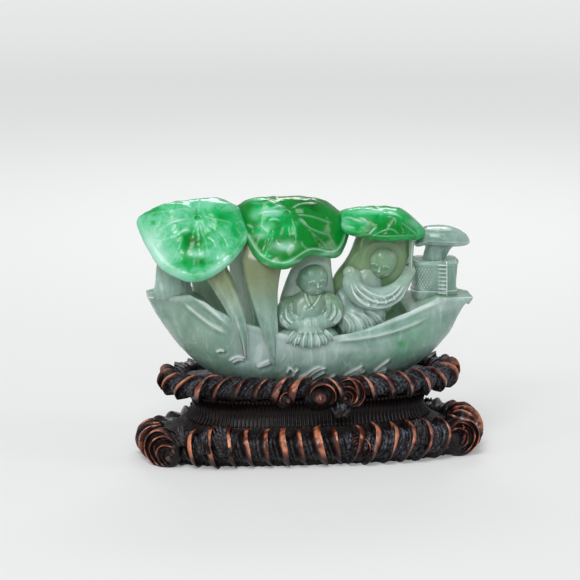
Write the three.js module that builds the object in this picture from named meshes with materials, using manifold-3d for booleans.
// Carved jade boat with two boys under lotus leaves, resting on a carved hardwood stand.
// Units are millimetres and +Z is up. The bow points to -X and the front faces -Y.
// The origin is on the table, under the middle of the stand.

import * as THREE from 'three';
import { mergeVertices } from 'three/addons/utils/BufferGeometryUtils.js';
import Module from 'manifold-3d';

const wasm = await Module();
wasm.setup();

// Fit between neighbouring forms
const partingGap = 0.3;
const cutOverrun = 2;

// Stand: its lower wave rim, the spool shaped core and the upper wave rim
const standLength = 83;
const standDepth = 40;
const planPower = 2.7;
const baseRimWidth = 9;
const baseRimHeight = 10.7;
const baseRimFlat = 1.6;
const baseRibCount = 54;
const baseRibDepth = 1.1;
const baseRibSlant = -1.3;
const baseRibBow = 1.1;
const baseShoulderHeight = 6.4;
const baseBlockHeight = 9.5;
const waistLength = 55;
const waistDepth = 25;
const waistHeight = 4.3;
const waistFlare = 1.4;
const seatThickness = 5.2;
const seatLipThickness = 3.4;
const topRimLength = 73.4;
const topRimDepth = 34;
const topRimWidth = 7;
const topRimHeight = 5.2;
const topRimRise = 3.8;
const topRimEndRise = 0.9;
const topRimEndGrowth = 1.8;
const rimEndShare = 0.75;
const topRibCount = 46;
const topRibDepth = 1.0;
const topRibSlant = 1.4;
const topRibBow = 1.0;
// Each side of the stand's middle, ribs reach their full lean within this share of its length
const leanShare = 0.1;

// A curled wave at the front of the upper rim, whose curl is given in radians
const scrollRadius = 3.6;
const scrollTube = 1.6;
const scrollStandOff = 0.7;
const scrollOffset = 1.2;
const scrollStart = -0.9;
const scrollSweep = 5.6;

// Domed coils at the front corners of the lower rim. Rows go from the middle of a coil to
// its back, as shares of its radius and of its depth
const coilRadius = 5.2;
const coilDepth = 3;
const coilStandOff = 1.2;
const coilPlaceShare = 0.185;
const coilShares = [
  [0.1, 1], [0.28, 0.92], [0.38, 0.66], [0.54, 0.8], [0.66, 0.48], [0.84, 0.54], [1, 0.1], [0.9, -1],
];

// Boat: a crescent hull with blunt raised ends and a shallow well
const keelWeb = 1.6;
const hullLength = 77.8;
const hullOffset = 0.4;
const hullDepth = 14.9;
const beam = 26;
const tipBreadth = 8;
const tipThickness = 0.9;
const bowRise = 9.9;
const sternRise = 7.6;
const tipFall = 1;
const wellDepth = 4.8;
const hullWall = 1.6;
const sheerPeakShare = 0.76;
const sheerPower = 1.7;
const keelPower = 3.4;
const breadthPower = 2.5;
const sectionPower = 2.4;
const wellBowShare = -0.64;
const wellSternShare = 0.58;
const wellEndShare = 0.97;

// Three lotus leaves. Each rim goes round from +X through the back, as shares of
// the leaf's half length, its depth behind the hub and its drop below the hub.
const leafFacing = new THREE.Vector3(0, -0.57, 0.82).normalize();

const leftLeaf = {
  stationShare: -0.71,
  sideShare: -0.42,
  rise: 29.5,
  halfLength: 13.2,
  depth: 17.5,
  drop: 15,
  backBulge: 4.7,
  frontBulge: 1.6,
  hubThickness: 3.4,
  rimThickness: 1.6,
  rimShares: [
    [1.0, 0.2, -0.21], [0.89, 0.66, -0.17], [0.55, 0.91, -0.24], [0.02, 1.0, -0.31],
    [-0.52, 0.89, -0.31], [-0.86, 0.63, -0.24], [-1.0, 0.26, -0.12], [-0.86, -0.09, -0.52],
    [-0.63, -0.29, -0.83], [-0.14, -0.4, -1.0], [0.36, -0.4, -0.86], [0.85, -0.23, -0.45],
  ],
};

const centreLeaf = {
  stationShare: -0.17,
  sideShare: -0.46,
  rise: 28.9,
  halfLength: 15.8,
  depth: 19,
  drop: 11.6,
  backBulge: 4.8,
  frontBulge: 1.8,
  hubThickness: 3.4,
  rimThickness: 1.6,
  rimShares: [
    [1.0, 0.16, -0.43], [0.94, 0.55, -0.24], [0.59, 0.87, -0.24], [0.02, 1.0, -0.29],
    [-0.42, 0.92, -0.24], [-0.71, 0.63, -0.1], [-0.77, 0.24, -0.05], [-0.68, -0.13, -0.48],
    [-0.46, -0.34, -0.89], [-0.11, -0.42, -1.0], [0.3, -0.34, -0.76], [0.75, -0.18, -0.86],
  ],
};

const rightLeaf = {
  stationShare: 0.46,
  sideShare: -0.54,
  headroom: 7,
  halfLength: 12.2,
  depth: 18,
  drop: 5.2,
  backBulge: 3.6,
  frontBulge: 1.0,
  hubThickness: 2.8,
  rimThickness: 1.5,
  rimShares: [
    [0.77, 0.33, -0.91], [0.64, 0.67, -0.68], [0.31, 0.89, -0.68], [-0.14, 1.0, -0.68],
    [-0.59, 0.92, -0.57], [-0.88, 0.69, -0.34], [-1.0, 0.39, -0.11], [-0.92, 0.06, -0.5],
    [-0.63, -0.14, -0.7], [-0.22, -0.22, -0.82], [0.23, -0.17, -0.86], [0.6, 0.03, -1.0],
  ],
};

// A leaf's section from its top to its underside, as reach out from the hub and depth
const leafSectionShares = [
  [0.16, 0], [0.42, 0], [0.7, 0], [0.92, 0], [1, 0.3], [1, 0.8], [0.92, 1], [0.6, 1], [0.2, 1],
];

// Leaf stems. Turn and reach give where a stem joins its leaf, and depth how far it goes in
const stemDepthShare = 0.6;

// Two stems pass over the gunwale and run on in relief down the hull's side
const leftStem = {
  turnShare: 0.8, reachShare: 0.35, rimShare: -0.46, footShare: -0.42, radius: 2.5, foot: 1.7,
};
const centreStem = {
  turnShare: 0.62, reachShare: 0.5, rimShare: -0.3, footShare: -0.26, radius: 3.6, foot: 2,
};
const stemReliefShare = 0.55;

// Three stems stand inside the boat
const thinStem = {
  turnShare: 0.58, reachShare: 0.75, footShare: -0.36, sideShare: -0.3, radius: 1.1, foot: 0.9,
};
const rearLeftStem = {
  turnShare: 0.2, reachShare: 0.5, footShare: -0.5, sideShare: 0.45, radius: 2, foot: 1.7,
};
const rearCentreStem = {
  turnShare: 0.25, reachShare: 0.45, footShare: -0.2, sideShare: 0.55, radius: 2, foot: 1.7,
};

// The post between the bow and the left leaf
const bowPost = {
  turnShare: 0.6, reachShare: 0.45, footShare: -0.85, footWidthShare: 1.1, halfLength: 4.1,
  halfDepth: 3.4,
};

// The stem held by the rear boy, which leans from the hand up into the right leaf
const heldStem = { turnShare: 0.93, reachShare: 0.72, radius: 0.8 };

// Two boys, whose tables are shares of their own heights above the well's floor
const frontBoy = {
  stationShare: -0.045,
  sideShare: -0.35,
  height: 21.3,
  // height, middle across, half width, half depth
  robeShares: [
    [-0.07, 0, 0.31, 0.25], [0.19, 0, 0.33, 0.27], [0.42, 0.01, 0.3, 0.235],
    [0.59, 0.03, 0.265, 0.2], [0.67, 0.055, 0.17, 0.15], [0.715, 0.06, 0.09, 0.09],
  ],
  // middle across, middle along the depth, height, then the three half sizes
  headShares: [0.07, -0.047, 0.808, 0.19, 0.185, 0.2],
  lapShares: [0, -0.26, 0.2, 0.34, 0.216, 0.146],
  // across, along the depth, height, radius
  rightSleeveShares: [
    [0.2, -0.02, 0.6, 0.09], [0.32, -0.164, 0.446, 0.11], [0.2, -0.29, 0.366, 0.1],
    [0.05, -0.32, 0.345, 0.08],
  ],
  leftSleeveShares: [
    [-0.13, 0, 0.56, 0.09], [-0.27, -0.164, 0.41, 0.11], [-0.17, -0.29, 0.35, 0.1],
    [-0.03, -0.32, 0.335, 0.08],
  ],
};

const rearBoy = {
  stationShare: 0.272,
  sideShare: -0.27,
  height: 23.7,
  robeShares: [
    [-0.06, 0, 0.27, 0.235], [0.24, -0.01, 0.28, 0.235], [0.45, 0.015, 0.255, 0.21],
    [0.66, 0.095, 0.24, 0.18], [0.81, 0.16, 0.19, 0.15], [0.915, 0.2, 0.11, 0.1],
  ],
  headShares: [0.253, -0.03, 0.819, 0.18, 0.175, 0.185],
  kneeShares: [-0.02, -0.148, 0.24, 0.22, 0.19, 0.21],
  sleeveShares: [
    [-0.063, -0.063, 0.705, 0.1], [-0.063, -0.21, 0.557, 0.12], [0.17, -0.274, 0.494, 0.12],
    [0.42, -0.19, 0.578, 0.1], [0.54, -0.063, 0.705, 0.07],
  ],
};

// Basket on the stern, with the long-life fungus growing out of it
const basketShare = 0.77;
const basketLength = 11;
const basketDepth = 9.2;
const basketHeight = 8;
const basketFoot = 3;
const basketCornerShare = 0.7;
// height as a share of the basket's height, width as a share of its length or depth
const basketShares = [[0, 0.98], [0.25, 0.94], [0.5, 0.97], [0.82, 1.02], [0.92, 0.92], [1, 0.72]];
const stalkRadius = 2.6;
const stalkHeight = 2.4;
const capLength = 14.2;
const capDepth = 10.4;
const capThickness = 5;
const capOffset = 1.6;
const capTilt = 0.16;

// Smoothness of the faceted forms
const hullSteps = 24;
const sectionSteps = 12;
const wellSteps = 12;
const rimSectionSteps = 8;
const oblongSteps = 48;
const leafSteps = 24;
const sweepSteps = 8;
const scrollSteps = 14;
const coilSides = 18;
const tubeSides = 8;
const ballSides = 14;
const ballRings = 9;
const robeSides = 14;
const pathSteps = 768;

// Mesh helpers

const signedPower = (value, power) => Math.sign(value) * Math.abs(value) ** power;

function geometryFrom(points, faces) {
  const geometry = new THREE.BufferGeometry();
  const numbers = points.flatMap((point) => point.toArray());
  geometry.setAttribute('position', new THREE.Float32BufferAttribute(numbers, 3));
  geometry.setIndex(faces);
  return geometry;
}

function signedVolume(geometry) {
  const place = geometry.attributes.position;
  const corners = [new THREE.Vector3(), new THREE.Vector3(), new THREE.Vector3()];
  let volume = 0;
  for (let i = 0; i < geometry.index.count; i += 3) {
    corners.forEach((corner, k) => corner.fromBufferAttribute(place, geometry.index.getX(i + k)));
    volume += corners[0].dot(corners[1].clone().cross(corners[2])) / 6;
  }
  return volume;
}

// A surface through rings of equally many points, turned so that its faces point outwards
function skin(rings, endless = false) {
  const sides = rings[0].length;
  const points = rings.flat();
  const faces = [];
  const bands = endless ? rings.length : rings.length - 1;
  for (let r = 0; r < bands; r += 1) {
    const here = r * sides;
    const next = ((r + 1) % rings.length) * sides;
    for (let s = 0; s < sides; s += 1) {
      const t = (s + 1) % sides;
      faces.push(here + s, next + s, here + t);
      faces.push(next + s, next + t, here + t);
    }
  }
  if (!endless) {
    for (const [r, flip] of [[0, false], [rings.length - 1, true]]) {
      const middle = new THREE.Vector3();
      rings[r].forEach((point) => middle.addScaledVector(point, 1 / sides));
      const hub = points.push(middle) - 1;
      for (let s = 0; s < sides; s += 1) {
        const edge = [r * sides + s, r * sides + (s + 1) % sides];
        faces.push(hub, ...(flip ? edge.reverse() : edge));
      }
    }
  }
  const geometry = geometryFrom(points, faces);
  if (signedVolume(geometry) < 0) {
    for (let i = 0; i < faces.length; i += 3) {
      [faces[i], faces[i + 1]] = [faces[i + 1], faces[i]];
    }
    geometry.setIndex(faces);
  }
  return geometry;
}

function welded(geometry) {
  const plain = geometry.clone();
  plain.deleteAttribute('normal');
  plain.deleteAttribute('uv');
  return mergeVertices(plain);
}

// The same form with every face moved outwards by the distance, where a sharp corner moves
// no further than this share allows
const sharpestShare = 0.5;
function grown(geometry, distance) {
  const source = welded(geometry);
  const place = source.attributes.position;
  const touching = Array.from({ length: place.count }, () => []);
  const triangle = new THREE.Triangle();
  for (let i = 0; i < source.index.count; i += 3) {
    const corners = [0, 1, 2].map((k) => source.index.getX(i + k));
    triangle.setFromAttributeAndIndices(place, ...corners);
    const normal = triangle.getNormal(new THREE.Vector3());
    corners.forEach((corner) => touching[corner].push(normal));
  }
  const points = touching.map((normals, i) => {
    const mean = new THREE.Vector3();
    normals.forEach((normal) => mean.add(normal));
    mean.normalize();
    const least = Math.min(...normals.map((normal) => normal.dot(mean)));
    const step = distance / Math.max(least, sharpestShare);
    return new THREE.Vector3().fromBufferAttribute(place, i).addScaledVector(mean, step);
  });
  return geometryFrom(points, Array.from(source.index.array));
}

function solidOf(geometry) {
  const source = welded(geometry);
  return new wasm.Manifold(new wasm.Mesh({
    numProp: 3,
    vertProperties: new Float32Array(source.attributes.position.array),
    triVerts: new Uint32Array(source.index.array),
  }));
}

// A form is its solid and the slightly larger space that its neighbours stay out of
function form(geometry) {
  return { solid: solidOf(geometry), space: solidOf(grown(geometry, partingGap)) };
}

function hollowed(outer, inner) {
  return {
    solid: solidOf(outer).subtract(solidOf(inner)),
    space: solidOf(grown(outer, partingGap)).subtract(solidOf(grown(inner, -partingGap))),
  };
}

// A form without its neighbours' spaces. Where they cut it through, the largest body stays
function trimmed(whole, ...neighbours) {
  const rest = neighbours.reduce((left, next) => left.subtract(next.space), whole.solid);
  const largest = rest.decompose().reduce((best, body) => (
    body.volume() > best.volume() ? body : best
  ));
  return { solid: largest, space: whole.space };
}

function meshGeometry(solid) {
  const { vertProperties, triVerts, numProp } = solid.getMesh();
  const geometry = new THREE.BufferGeometry();
  const points = new THREE.InterleavedBuffer(vertProperties, numProp);
  geometry.setAttribute('position', new THREE.InterleavedBufferAttribute(points, 3, 0));
  geometry.setIndex(new THREE.BufferAttribute(triVerts, 1));
  geometry.computeVertexNormals();
  return geometry;
}

// Basic forms

function ballGeometry(middle, halfSizes, tilt = 0) {
  const geometry = new THREE.SphereGeometry(1, ballSides, ballRings);
  geometry.rotateX(Math.PI / 2);
  geometry.scale(...halfSizes);
  geometry.rotateY(tilt);
  geometry.translate(...middle);
  return geometry;
}

// A tube along a curve, with an oval section whose half sizes change from row to row
function tubeGeometry(places, widths, depths = widths, across = new THREE.Vector3(0, 1, 0)) {
  const curve = new THREE.CatmullRomCurve3(places);
  const last = widths.length - 1;
  const steps = Math.max(sweepSteps, last);
  const sized = (sizes, t) => {
    const i = Math.min(Math.floor(t * last), last - 1);
    return THREE.MathUtils.lerp(sizes[i], sizes[i + 1], t * last - i);
  };
  const rings = [];
  for (let k = 0; k <= steps; k += 1) {
    const t = k / steps;
    const tangent = curve.getTangent(t);
    const side = across.clone().cross(tangent).normalize();
    const front = tangent.clone().cross(side).normalize();
    const middle = curve.getPoint(t);
    rings.push(Array.from({ length: tubeSides }, (_, s) => {
      const turn = (2 * Math.PI * s) / tubeSides;
      return middle.clone()
        .addScaledVector(side, sized(widths, t) * Math.cos(turn))
        .addScaledVector(front, sized(depths, t) * Math.sin(turn));
    }));
  }
  return skin(rings);
}

// Points round a squared oval plan, evenly spaced, starting at the front
function oblongCurve(halfLength, halfDepth) {
  const points = [];
  for (let k = 0; k < oblongSteps * 2; k += 1) {
    const turn = (Math.PI * k) / oblongSteps;
    const x = halfLength * signedPower(Math.sin(turn), 2 / planPower);
    const y = -halfDepth * signedPower(Math.cos(turn), 2 / planPower);
    points.push(new THREE.Vector3(x, y, 0));
  }
  return new THREE.CatmullRomCurve3(points, true);
}

// A block whose plan is a squared oval, given as rows of height, half length and half depth
function oblongBlock(rows) {
  return skin(rows.map(([z, halfLength, halfDepth]) => {
    const curve = oblongCurve(halfLength, halfDepth);
    return Array.from({ length: oblongSteps }, (_, s) => (
      curve.getPointAt(s / oblongSteps).setZ(z)
    ));
  }));
}

// Stand

const wrapped = (turn) => ((turn % 1) + 1) % 1;
// Ribs lean away from the front middle on both sides, so the lean changes hands there
const leanAt = (turn) => (
  THREE.MathUtils.clamp(Math.sin(2 * Math.PI * turn) / Math.sin(Math.PI * leanShare), -1, 1)
);

// A rim carved as a closed row of leaning wave ribs
function waveRim(rim, ribDepth) {
  const path = oblongCurve((rim.length - rim.width) / 2, (rim.depth - rim.width) / 2);
  path.arcLengthDivisions = pathSteps;
  const around = path.getLength();
  const steps = ribDepth > 0 ? rim.ribCount * 2 : oblongSteps;
  const rings = [];
  for (let k = 0; k < steps; k += 1) {
    const turn = k / steps;
    const hollow = k % 2 === 0 ? 0 : ribDepth;
    const end = Math.min(1, Math.abs(path.getPointAt(turn).x) / ((rimEndShare * rim.length) / 2));
    const halfWidth = rim.width / 2 - hollow;
    const halfHeight = (rim.height + rim.endGrowth * end ** 2) / 2 - hollow;
    const middleHeight = rim.middleHeight + rim.endRise * end ** 2;
    rings.push(Array.from({ length: rimSectionSteps }, (_, s) => {
      const angle = (2 * Math.PI * s) / rimSectionSteps;
      const outwards = Math.cos(angle);
      const upwards = Math.sin(angle);
      const lean = ribDepth > 0 ? leanAt(turn) * (rim.bow * outwards - rim.slant * upwards) : 0;
      const place = wrapped(turn + lean / around);
      const tangent = path.getTangentAt(place);
      const point = path.getPointAt(place);
      point.x += tangent.y * halfWidth * outwards;
      point.y -= tangent.x * halfWidth * outwards;
      point.z = Math.max(0, middleHeight + halfHeight * upwards);
      return point;
    }));
  }
  return skin(rings, true);
}

// Neighbours keep clear of the rim's crests, so its space is the same ring without ribs
function rimForm(rim) {
  return {
    solid: solidOf(waveRim(rim, rim.ribDepth)),
    space: solidOf(grown(waveRim(rim, 0), partingGap)),
  };
}

const baseRimForm = rimForm({
  length: standLength,
  depth: standDepth,
  width: baseRimWidth,
  height: baseRimHeight + baseRimFlat,
  middleHeight: (baseRimHeight - baseRimFlat) / 2,
  endRise: 0,
  endGrowth: 0,
  ribCount: baseRibCount,
  ribDepth: baseRibDepth,
  slant: baseRibSlant,
  bow: baseRibBow,
});

const baseHalfLength = (standLength - baseRimWidth) / 2;
const baseHalfDepth = (standDepth - baseRimWidth) / 2;
const waistHalfLength = waistLength / 2;
const waistHalfDepth = waistDepth / 2;
const baseBlockForm = trimmed(form(oblongBlock([
  [0, baseHalfLength, baseHalfDepth],
  [baseShoulderHeight, baseHalfLength, baseHalfDepth],
  [baseBlockHeight, waistHalfLength + 2 * waistFlare, waistHalfDepth + 2 * waistFlare],
])), baseRimForm);

const seatBottom = baseBlockHeight + waistHeight;
const waistForm = form(oblongBlock([
  [baseBlockHeight + partingGap, waistHalfLength + waistFlare, waistHalfDepth + waistFlare],
  [baseBlockHeight + waistHeight / 2, waistHalfLength, waistHalfDepth],
  [seatBottom - partingGap, waistHalfLength + waistFlare, waistHalfDepth + waistFlare],
]));

const topRimForm = rimForm({
  length: topRimLength,
  depth: topRimDepth,
  width: topRimWidth,
  height: topRimHeight,
  middleHeight: seatBottom + topRimRise,
  endRise: topRimEndRise,
  endGrowth: topRimEndGrowth,
  ribCount: topRibCount,
  ribDepth: topRibDepth,
  slant: topRibSlant,
  bow: topRibBow,
});

// Boat

const keelHeight = seatBottom + keelWeb + partingGap;
const gunwaleHeight = keelHeight + hullDepth;
const stationX = (share) => hullOffset + (share * hullLength) / 2;

// A station runs from -1 at the bow's tip to 1 at the stern's
function sheerHeight(station) {
  const reach = Math.abs(station);
  const climb = Math.min(1, reach / sheerPeakShare) ** sheerPower;
  const past = Math.max(0, reach - sheerPeakShare) / (1 - sheerPeakShare);
  return gunwaleHeight + (station < 0 ? bowRise : sternRise) * climb - tipFall * past;
}

function keelLine(station) {
  const tip = sheerHeight(station < 0 ? -1 : 1) - tipThickness;
  return THREE.MathUtils.lerp(keelHeight, tip, Math.abs(station) ** keelPower);
}

function halfBreadth(station) {
  return THREE.MathUtils.lerp(beam / 2, tipBreadth / 2, Math.abs(station) ** breadthPower);
}

const wellFloor = (station) => sheerHeight(station) - wellDepth;

// One frame of the hull or the well: a rounded section hanging below a level top
function frameRing(x, half, top, bottom, power) {
  return Array.from({ length: sectionSteps + 1 }, (_, s) => {
    const angle = (Math.PI * s) / sectionSteps;
    const y = -half * signedPower(Math.cos(angle), 2 / power);
    const z = top - (top - bottom) * Math.sin(angle) ** (2 / power);
    return new THREE.Vector3(x, y, z);
  });
}

function hullGeometry() {
  const rings = [];
  for (let k = 0; k <= hullSteps; k += 1) {
    const station = Math.sin((Math.PI / 2) * (2 * (k / hullSteps) - 1));
    rings.push(frameRing(stationX(station), halfBreadth(station), sheerHeight(station),
      keelLine(station), sectionPower));
  }
  return skin(rings);
}

function wellGeometry() {
  const rings = [];
  for (let k = 0; k <= wellSteps; k += 1) {
    const reach = wellEndShare * Math.sin((Math.PI / 2) * (2 * (k / wellSteps) - 1));
    const station = THREE.MathUtils.mapLinear(reach, -1, 1, wellBowShare, wellSternShare);
    const rounding = (1 - reach ** 4) ** (1 / 4);
    const top = sheerHeight(station);
    rings.push(frameRing(stationX(station), (halfBreadth(station) - hullWall) * rounding,
      top + cutOverrun, top - wellDepth * rounding, 2 * sectionPower));
  }
  return skin(rings);
}

const hullForm = hollowed(hullGeometry(), wellGeometry());

// How far the hull's side stands out at a height
function hullSide(station, z) {
  const top = sheerHeight(station);
  const share = THREE.MathUtils.clamp((top - z) / (top - keelLine(station)), 0, 1);
  return halfBreadth(station) * (1 - share ** sectionPower) ** (1 / sectionPower);
}

const topRimTrimmed = trimmed(topRimForm, hullForm);
const seatForm = trimmed(form(oblongBlock([
  [seatBottom, waistHalfLength + 2 * waistFlare, waistHalfDepth + 2 * waistFlare],
  [seatBottom + seatThickness - seatLipThickness, (topRimLength - topRimWidth) / 2,
    (topRimDepth - topRimWidth) / 2],
  [seatBottom + seatThickness, (topRimLength - topRimWidth) / 2,
    (topRimDepth - topRimWidth) / 2],
])), topRimForm, hullForm);

// A curled wave standing on the front of the upper rim
function scrollGeometry(middle, radius, tube) {
  const places = [];
  const sizes = [];
  for (let k = 0; k <= scrollSteps; k += 1) {
    const share = k / scrollSteps;
    const swing = scrollStart + scrollSweep * share;
    const reach = radius * (1 - share / 2);
    places.push(new THREE.Vector3(Math.cos(swing), 0, Math.sin(swing))
      .multiplyScalar(reach).add(middle));
    sizes.push(tube * (1 - share / 2));
  }
  return tubeGeometry(places, sizes);
}

const topScrollMiddle = new THREE.Vector3(
  scrollOffset,
  -topRimDepth / 2 - scrollStandOff,
  seatBottom + topRimRise - scrollTube / 2,
);
const topScrollForm = trimmed(
  form(scrollGeometry(topScrollMiddle, scrollRadius, scrollTube)),
  topRimForm,
);

// The lower rim ends in a coil at each front corner. The hand is -1 at the bow and 1 at the stern
function coilForm(hand) {
  const path = oblongCurve(standLength / 2 + coilStandOff, standDepth / 2 + coilStandOff);
  const place = wrapped(hand * coilPlaceShare);
  const middle = path.getPointAt(place).setZ(baseRimHeight / 2);
  const along = path.getTangentAt(place);
  const outwards = new THREE.Vector3(along.y, -along.x, 0);
  return trimmed(form(skin(coilShares.map(([reach, rise]) => (
    Array.from({ length: coilSides }, (_, s) => {
      const turn = (2 * Math.PI * s) / coilSides;
      return middle.clone()
        .addScaledVector(along, coilRadius * reach * Math.cos(turn))
        .addScaledVector(outwards, coilDepth * rise)
        .add(new THREE.Vector3(0, 0, coilRadius * reach * Math.sin(turn)));
    })
  )))), baseRimForm);
}

// Leaves

function leafOf(leaf) {
  const hub = new THREE.Vector3(
    stationX(leaf.stationShare),
    (leaf.sideShare * beam) / 2,
    gunwaleHeight + leaf.rise,
  );
  const reach = new THREE.Vector3(leaf.halfLength, leaf.depth, leaf.drop);
  const points = leaf.rimShares.map((row) => new THREE.Vector3(...row).multiply(reach).add(hub));
  return { ...leaf, hub, rim: new THREE.CatmullRomCurve3(points, true) };
}

// A point of a leaf: turn goes round it, reach out from its hub, and depth down into it
function leafPoint(leaf, turn, reach, depth) {
  const bulge = THREE.MathUtils.lerp(leaf.frontBulge, leaf.backBulge,
    (1 + Math.sin(2 * Math.PI * turn)) / 2);
  const thickness = THREE.MathUtils.lerp(leaf.hubThickness, leaf.rimThickness, reach);
  return leaf.hub.clone()
    .lerp(leaf.rim.getPoint(turn), reach)
    .addScaledVector(leafFacing, 4 * bulge * reach * (1 - reach) - depth * thickness);
}

function leafGeometry(leaf) {
  return skin(leafSectionShares.map(([reach, depth]) => (
    Array.from({ length: leafSteps }, (_, s) => leafPoint(leaf, s / leafSteps, reach, depth))
  )));
}

// The right leaf is a roof over the rear boy, so it rises with that boy
const rearBoyTop = wellFloor(rearBoy.stationShare) + rearBoy.height;
const leaves = {
  left: leafOf(leftLeaf),
  centre: leafOf(centreLeaf),
  right: leafOf({ ...rightLeaf, rise: rearBoyTop + rightLeaf.headroom - gunwaleHeight }),
};
const leafForms = {};
for (const [side, leaf] of Object.entries(leaves)) {
  leafForms[side] = trimmed(form(leafGeometry(leaf)), ...Object.values(leafForms));
}

// Stems

// A stem leaves its leaf, comes down past the gunwale and runs on in relief down the hull's side
function sideStem(leaf, { turnShare, reachShare, rimShare, footShare, radius, foot }) {
  const top = leafPoint(leaf, turnShare, reachShare, stemDepthShare);
  const rimX = stationX(rimShare);
  const rimZ = sheerHeight(rimShare);
  const footZ = THREE.MathUtils.lerp(sheerHeight(footShare), keelLine(footShare), stemReliefShare);
  const places = [
    top,
    new THREE.Vector3((top.x + rimX) / 2, top.y, (top.z + rimZ) / 2 + foot),
    new THREE.Vector3(rimX, -hullSide(rimShare, rimZ) + foot / 2, rimZ),
    new THREE.Vector3(stationX(footShare), -hullSide(footShare, footZ) + foot / 2, footZ),
  ];
  return tubeGeometry(places, [radius, radius, foot, foot / 2], [radius / 2, radius / 2, foot, foot]);
}

// A stem that stands inside the boat, from the deck up into its leaf
function innerStem(leaf, { turnShare, reachShare, footShare, sideShare, radius, foot }) {
  const top = leafPoint(leaf, turnShare, reachShare, stemDepthShare);
  const deck = wellFloor(footShare);
  const bottom = new THREE.Vector3(
    stationX(footShare),
    sideShare * halfBreadth(footShare),
    deck - foot,
  );
  const middle = top.clone().lerp(bottom, 0.5);
  return tubeGeometry([top, middle, bottom], [radius, (radius + foot) / 2, foot]);
}

const leafSpaces = Object.values(leafForms);
const stemForms = {
  lotus_stem_left: sideStem(leaves.left, leftStem),
  lotus_stem_thin: innerStem(leaves.centre, thinStem),
  lotus_stem_centre: sideStem(leaves.centre, centreStem),
  lotus_stem_rear_left: innerStem(leaves.left, rearLeftStem),
  lotus_stem_rear_centre: innerStem(leaves.centre, rearCentreStem),
};
const trimmedStems = {};
for (const [name, geometry] of Object.entries(stemForms)) {
  trimmedStems[name] = trimmed(form(geometry), hullForm, ...leafSpaces,
    ...Object.values(trimmedStems));
}

function bowPostGeometry() {
  const { turnShare, reachShare, footShare, footWidthShare, halfLength, halfDepth } = bowPost;
  const top = leafPoint(leaves.left, turnShare, reachShare, stemDepthShare);
  const foot = new THREE.Vector3(stationX(footShare), 0, keelLine(footShare));
  return tubeGeometry(
    [top, top.clone().lerp(foot, 0.5).setX(foot.x), foot],
    [halfLength, halfLength, halfLength * footWidthShare],
    [halfDepth, halfDepth, halfDepth],
  );
}
const bowPostForm = trimmed(form(bowPostGeometry()), hullForm, ...leafSpaces,
  ...Object.values(trimmedStems));

// Boys

function figureOf(boy) {
  const origin = new THREE.Vector3(
    stationX(boy.stationShare),
    (boy.sideShare * beam) / 2,
    wellFloor(boy.stationShare),
  );
  const at = (x, y, z) => new THREE.Vector3(x, y, z).multiplyScalar(boy.height).add(origin);
  const ball = ([x, y, z, ...halves]) => (
    form(ballGeometry(at(x, y, z).toArray(), halves.map((half) => half * boy.height)))
  );
  const sleeve = (rows) => form(tubeGeometry(
    rows.map(([x, y, z]) => at(x, y, z)),
    rows.map((row) => row[3] * boy.height),
  ));
  const robe = (rows) => form(skin(rows.map(([z, x, halfWidth, halfDepth]) => (
    Array.from({ length: robeSides }, (_, s) => {
      const turn = (2 * Math.PI * s) / robeSides;
      return at(x + halfWidth * Math.cos(turn), halfDepth * Math.sin(turn), z);
    })
  ))));
  return { at, ball, sleeve, robe };
}

const stemSpaces = Object.values(trimmedStems);
const front = figureOf(frontBoy);
const frontHead = trimmed(front.ball(frontBoy.headShares), ...leafSpaces, ...stemSpaces);
const frontRobe = trimmed(front.robe(frontBoy.robeShares), frontHead, hullForm, ...stemSpaces);
const frontRightSleeve = trimmed(front.sleeve(frontBoy.rightSleeveShares), frontHead, frontRobe,
  hullForm);
const frontLeftSleeve = trimmed(front.sleeve(frontBoy.leftSleeveShares), frontHead, frontRobe,
  frontRightSleeve, hullForm, ...stemSpaces);
const frontLap = trimmed(front.ball(frontBoy.lapShares), frontRobe, frontRightSleeve,
  frontLeftSleeve, hullForm, ...stemSpaces);
const frontForms = {
  front_boy_head: frontHead,
  front_boy_robe: frontRobe,
  front_boy_right_sleeve: frontRightSleeve,
  front_boy_left_sleeve: frontLeftSleeve,
  front_boy_lap: frontLap,
};

const rear = figureOf(rearBoy);
const frontSpaces = Object.values(frontForms);
const rearHead = trimmed(rear.ball(rearBoy.headShares), ...leafSpaces);
const rearSleeve = trimmed(rear.sleeve(rearBoy.sleeveShares), rearHead, hullForm, ...leafSpaces,
  ...frontSpaces);
const rearRobe = trimmed(rear.robe(rearBoy.robeShares), rearHead, rearSleeve, hullForm,
  ...leafSpaces, ...frontSpaces);
const rearKnee = trimmed(rear.ball(rearBoy.kneeShares), rearRobe, rearSleeve, hullForm,
  ...frontSpaces);

// The stem that the rear boy holds runs from the raised sleeve up into the right leaf
function heldStemGeometry() {
  const { turnShare, reachShare, radius } = heldStem;
  const hand = rear.at(...rearBoy.sleeveShares.at(-1).slice(0, 3));
  const top = leafPoint(leaves.right, turnShare, reachShare, stemDepthShare);
  const low = hand.clone().setZ(hand.z - 3 * radius);
  const middle = hand.clone().lerp(top, 0.5);
  return tubeGeometry([top, middle, low], [radius, radius, radius]);
}
const heldStemForm = trimmed(form(heldStemGeometry()), rearSleeve, ...leafSpaces);

// Basket and fungus

function basketGeometry() {
  const x = stationX(basketShare);
  const deck = sheerHeight(basketShare);
  const rows = [[-basketFoot / basketHeight, basketShares[0][1]], ...basketShares];
  return skin(rows.map(([up, wide]) => (
    Array.from({ length: robeSides }, (_, s) => {
      const turn = (2 * Math.PI * (s + 0.5)) / robeSides;
      return new THREE.Vector3(
        x + (wide * basketLength * signedPower(Math.cos(turn), basketCornerShare)) / 2,
        (wide * basketDepth * signedPower(Math.sin(turn), basketCornerShare)) / 2,
        deck + up * basketHeight,
      );
    })
  )));
}

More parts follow.
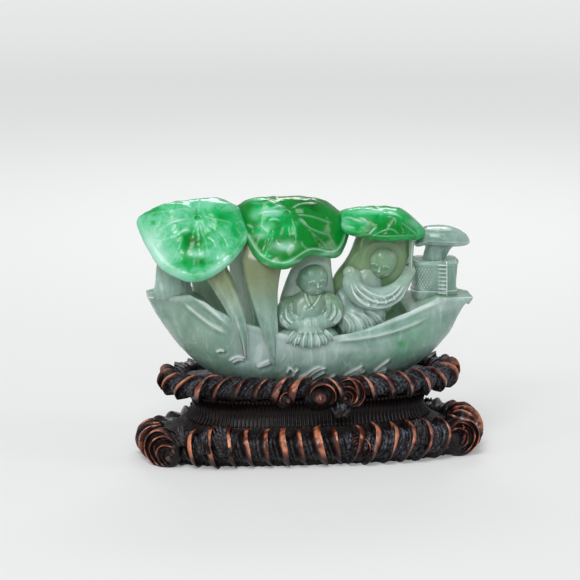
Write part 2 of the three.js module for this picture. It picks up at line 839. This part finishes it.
const basketForm = trimmed(form(basketGeometry()), hullForm);
const basketTop = sheerHeight(basketShare) + basketHeight;
const capMiddle = [
  stationX(basketShare) + capOffset,
  0,
  basketTop + stalkHeight + capThickness / 2,
];
const capForm = trimmed(
  form(ballGeometry(capMiddle, [capLength / 2, capDepth / 2, capThickness / 2], capTilt)),
  ...leafSpaces,
);
const stalkForm = trimmed(form(tubeGeometry(
  [
    new THREE.Vector3(...capMiddle),
    new THREE.Vector3(stationX(basketShare) + capOffset / 3, 0, basketTop + stalkHeight / 2),
    new THREE.Vector3(stationX(basketShare), 0, basketTop - stalkHeight),
  ],
  [stalkRadius, stalkRadius, stalkRadius],
)), basketForm, capForm);

// The assembled scene

const paleJade = () => new THREE.MeshStandardMaterial({
  color: 0x9fb8a8, roughness: 0.28, metalness: 0,
});
const leafJade = () => new THREE.MeshStandardMaterial({
  color: 0x2fa860, roughness: 0.25, metalness: 0,
});
const hardwood = () => new THREE.MeshStandardMaterial({
  color: 0x3b1f18, roughness: 0.45, metalness: 0,
});

function addForms(group, material, forms) {
  for (const [name, { solid }] of Object.entries(forms)) {
    const mesh = new THREE.Mesh(meshGeometry(solid), material());
    mesh.name = name;
    group.add(mesh);
  }
}

const stand = new THREE.Group();
addForms(stand, hardwood, {
  stand_base_block: baseBlockForm,
  stand_base_wave_rim: baseRimForm,
  stand_waist: waistForm,
  stand_seat_block: seatForm,
  stand_top_wave_rim: topRimTrimmed,
  stand_front_scroll: topScrollForm,
  stand_bow_scroll: coilForm(-1),
  stand_stern_scroll: coilForm(1),
});

const carving = new THREE.Group();
addForms(carving, paleJade, {
  boat_hull: hullForm,
  bow_post: bowPostForm,
  ...trimmedStems,
  ...frontForms,
  rear_boy_head: rearHead,
  rear_boy_robe: rearRobe,
  rear_boy_sleeve: rearSleeve,
  rear_boy_knee: rearKnee,
  held_leaf_stem: heldStemForm,
  stern_basket: basketForm,
  fungus_stalk: stalkForm,
  fungus_cap: capForm,
});
addForms(carving, leafJade, {
  lotus_leaf_left: leafForms.left,
  lotus_leaf_centre: leafForms.centre,
  lotus_leaf_right: leafForms.right,
});

const model = new THREE.Group();
model.add(stand, carving);

export default model;
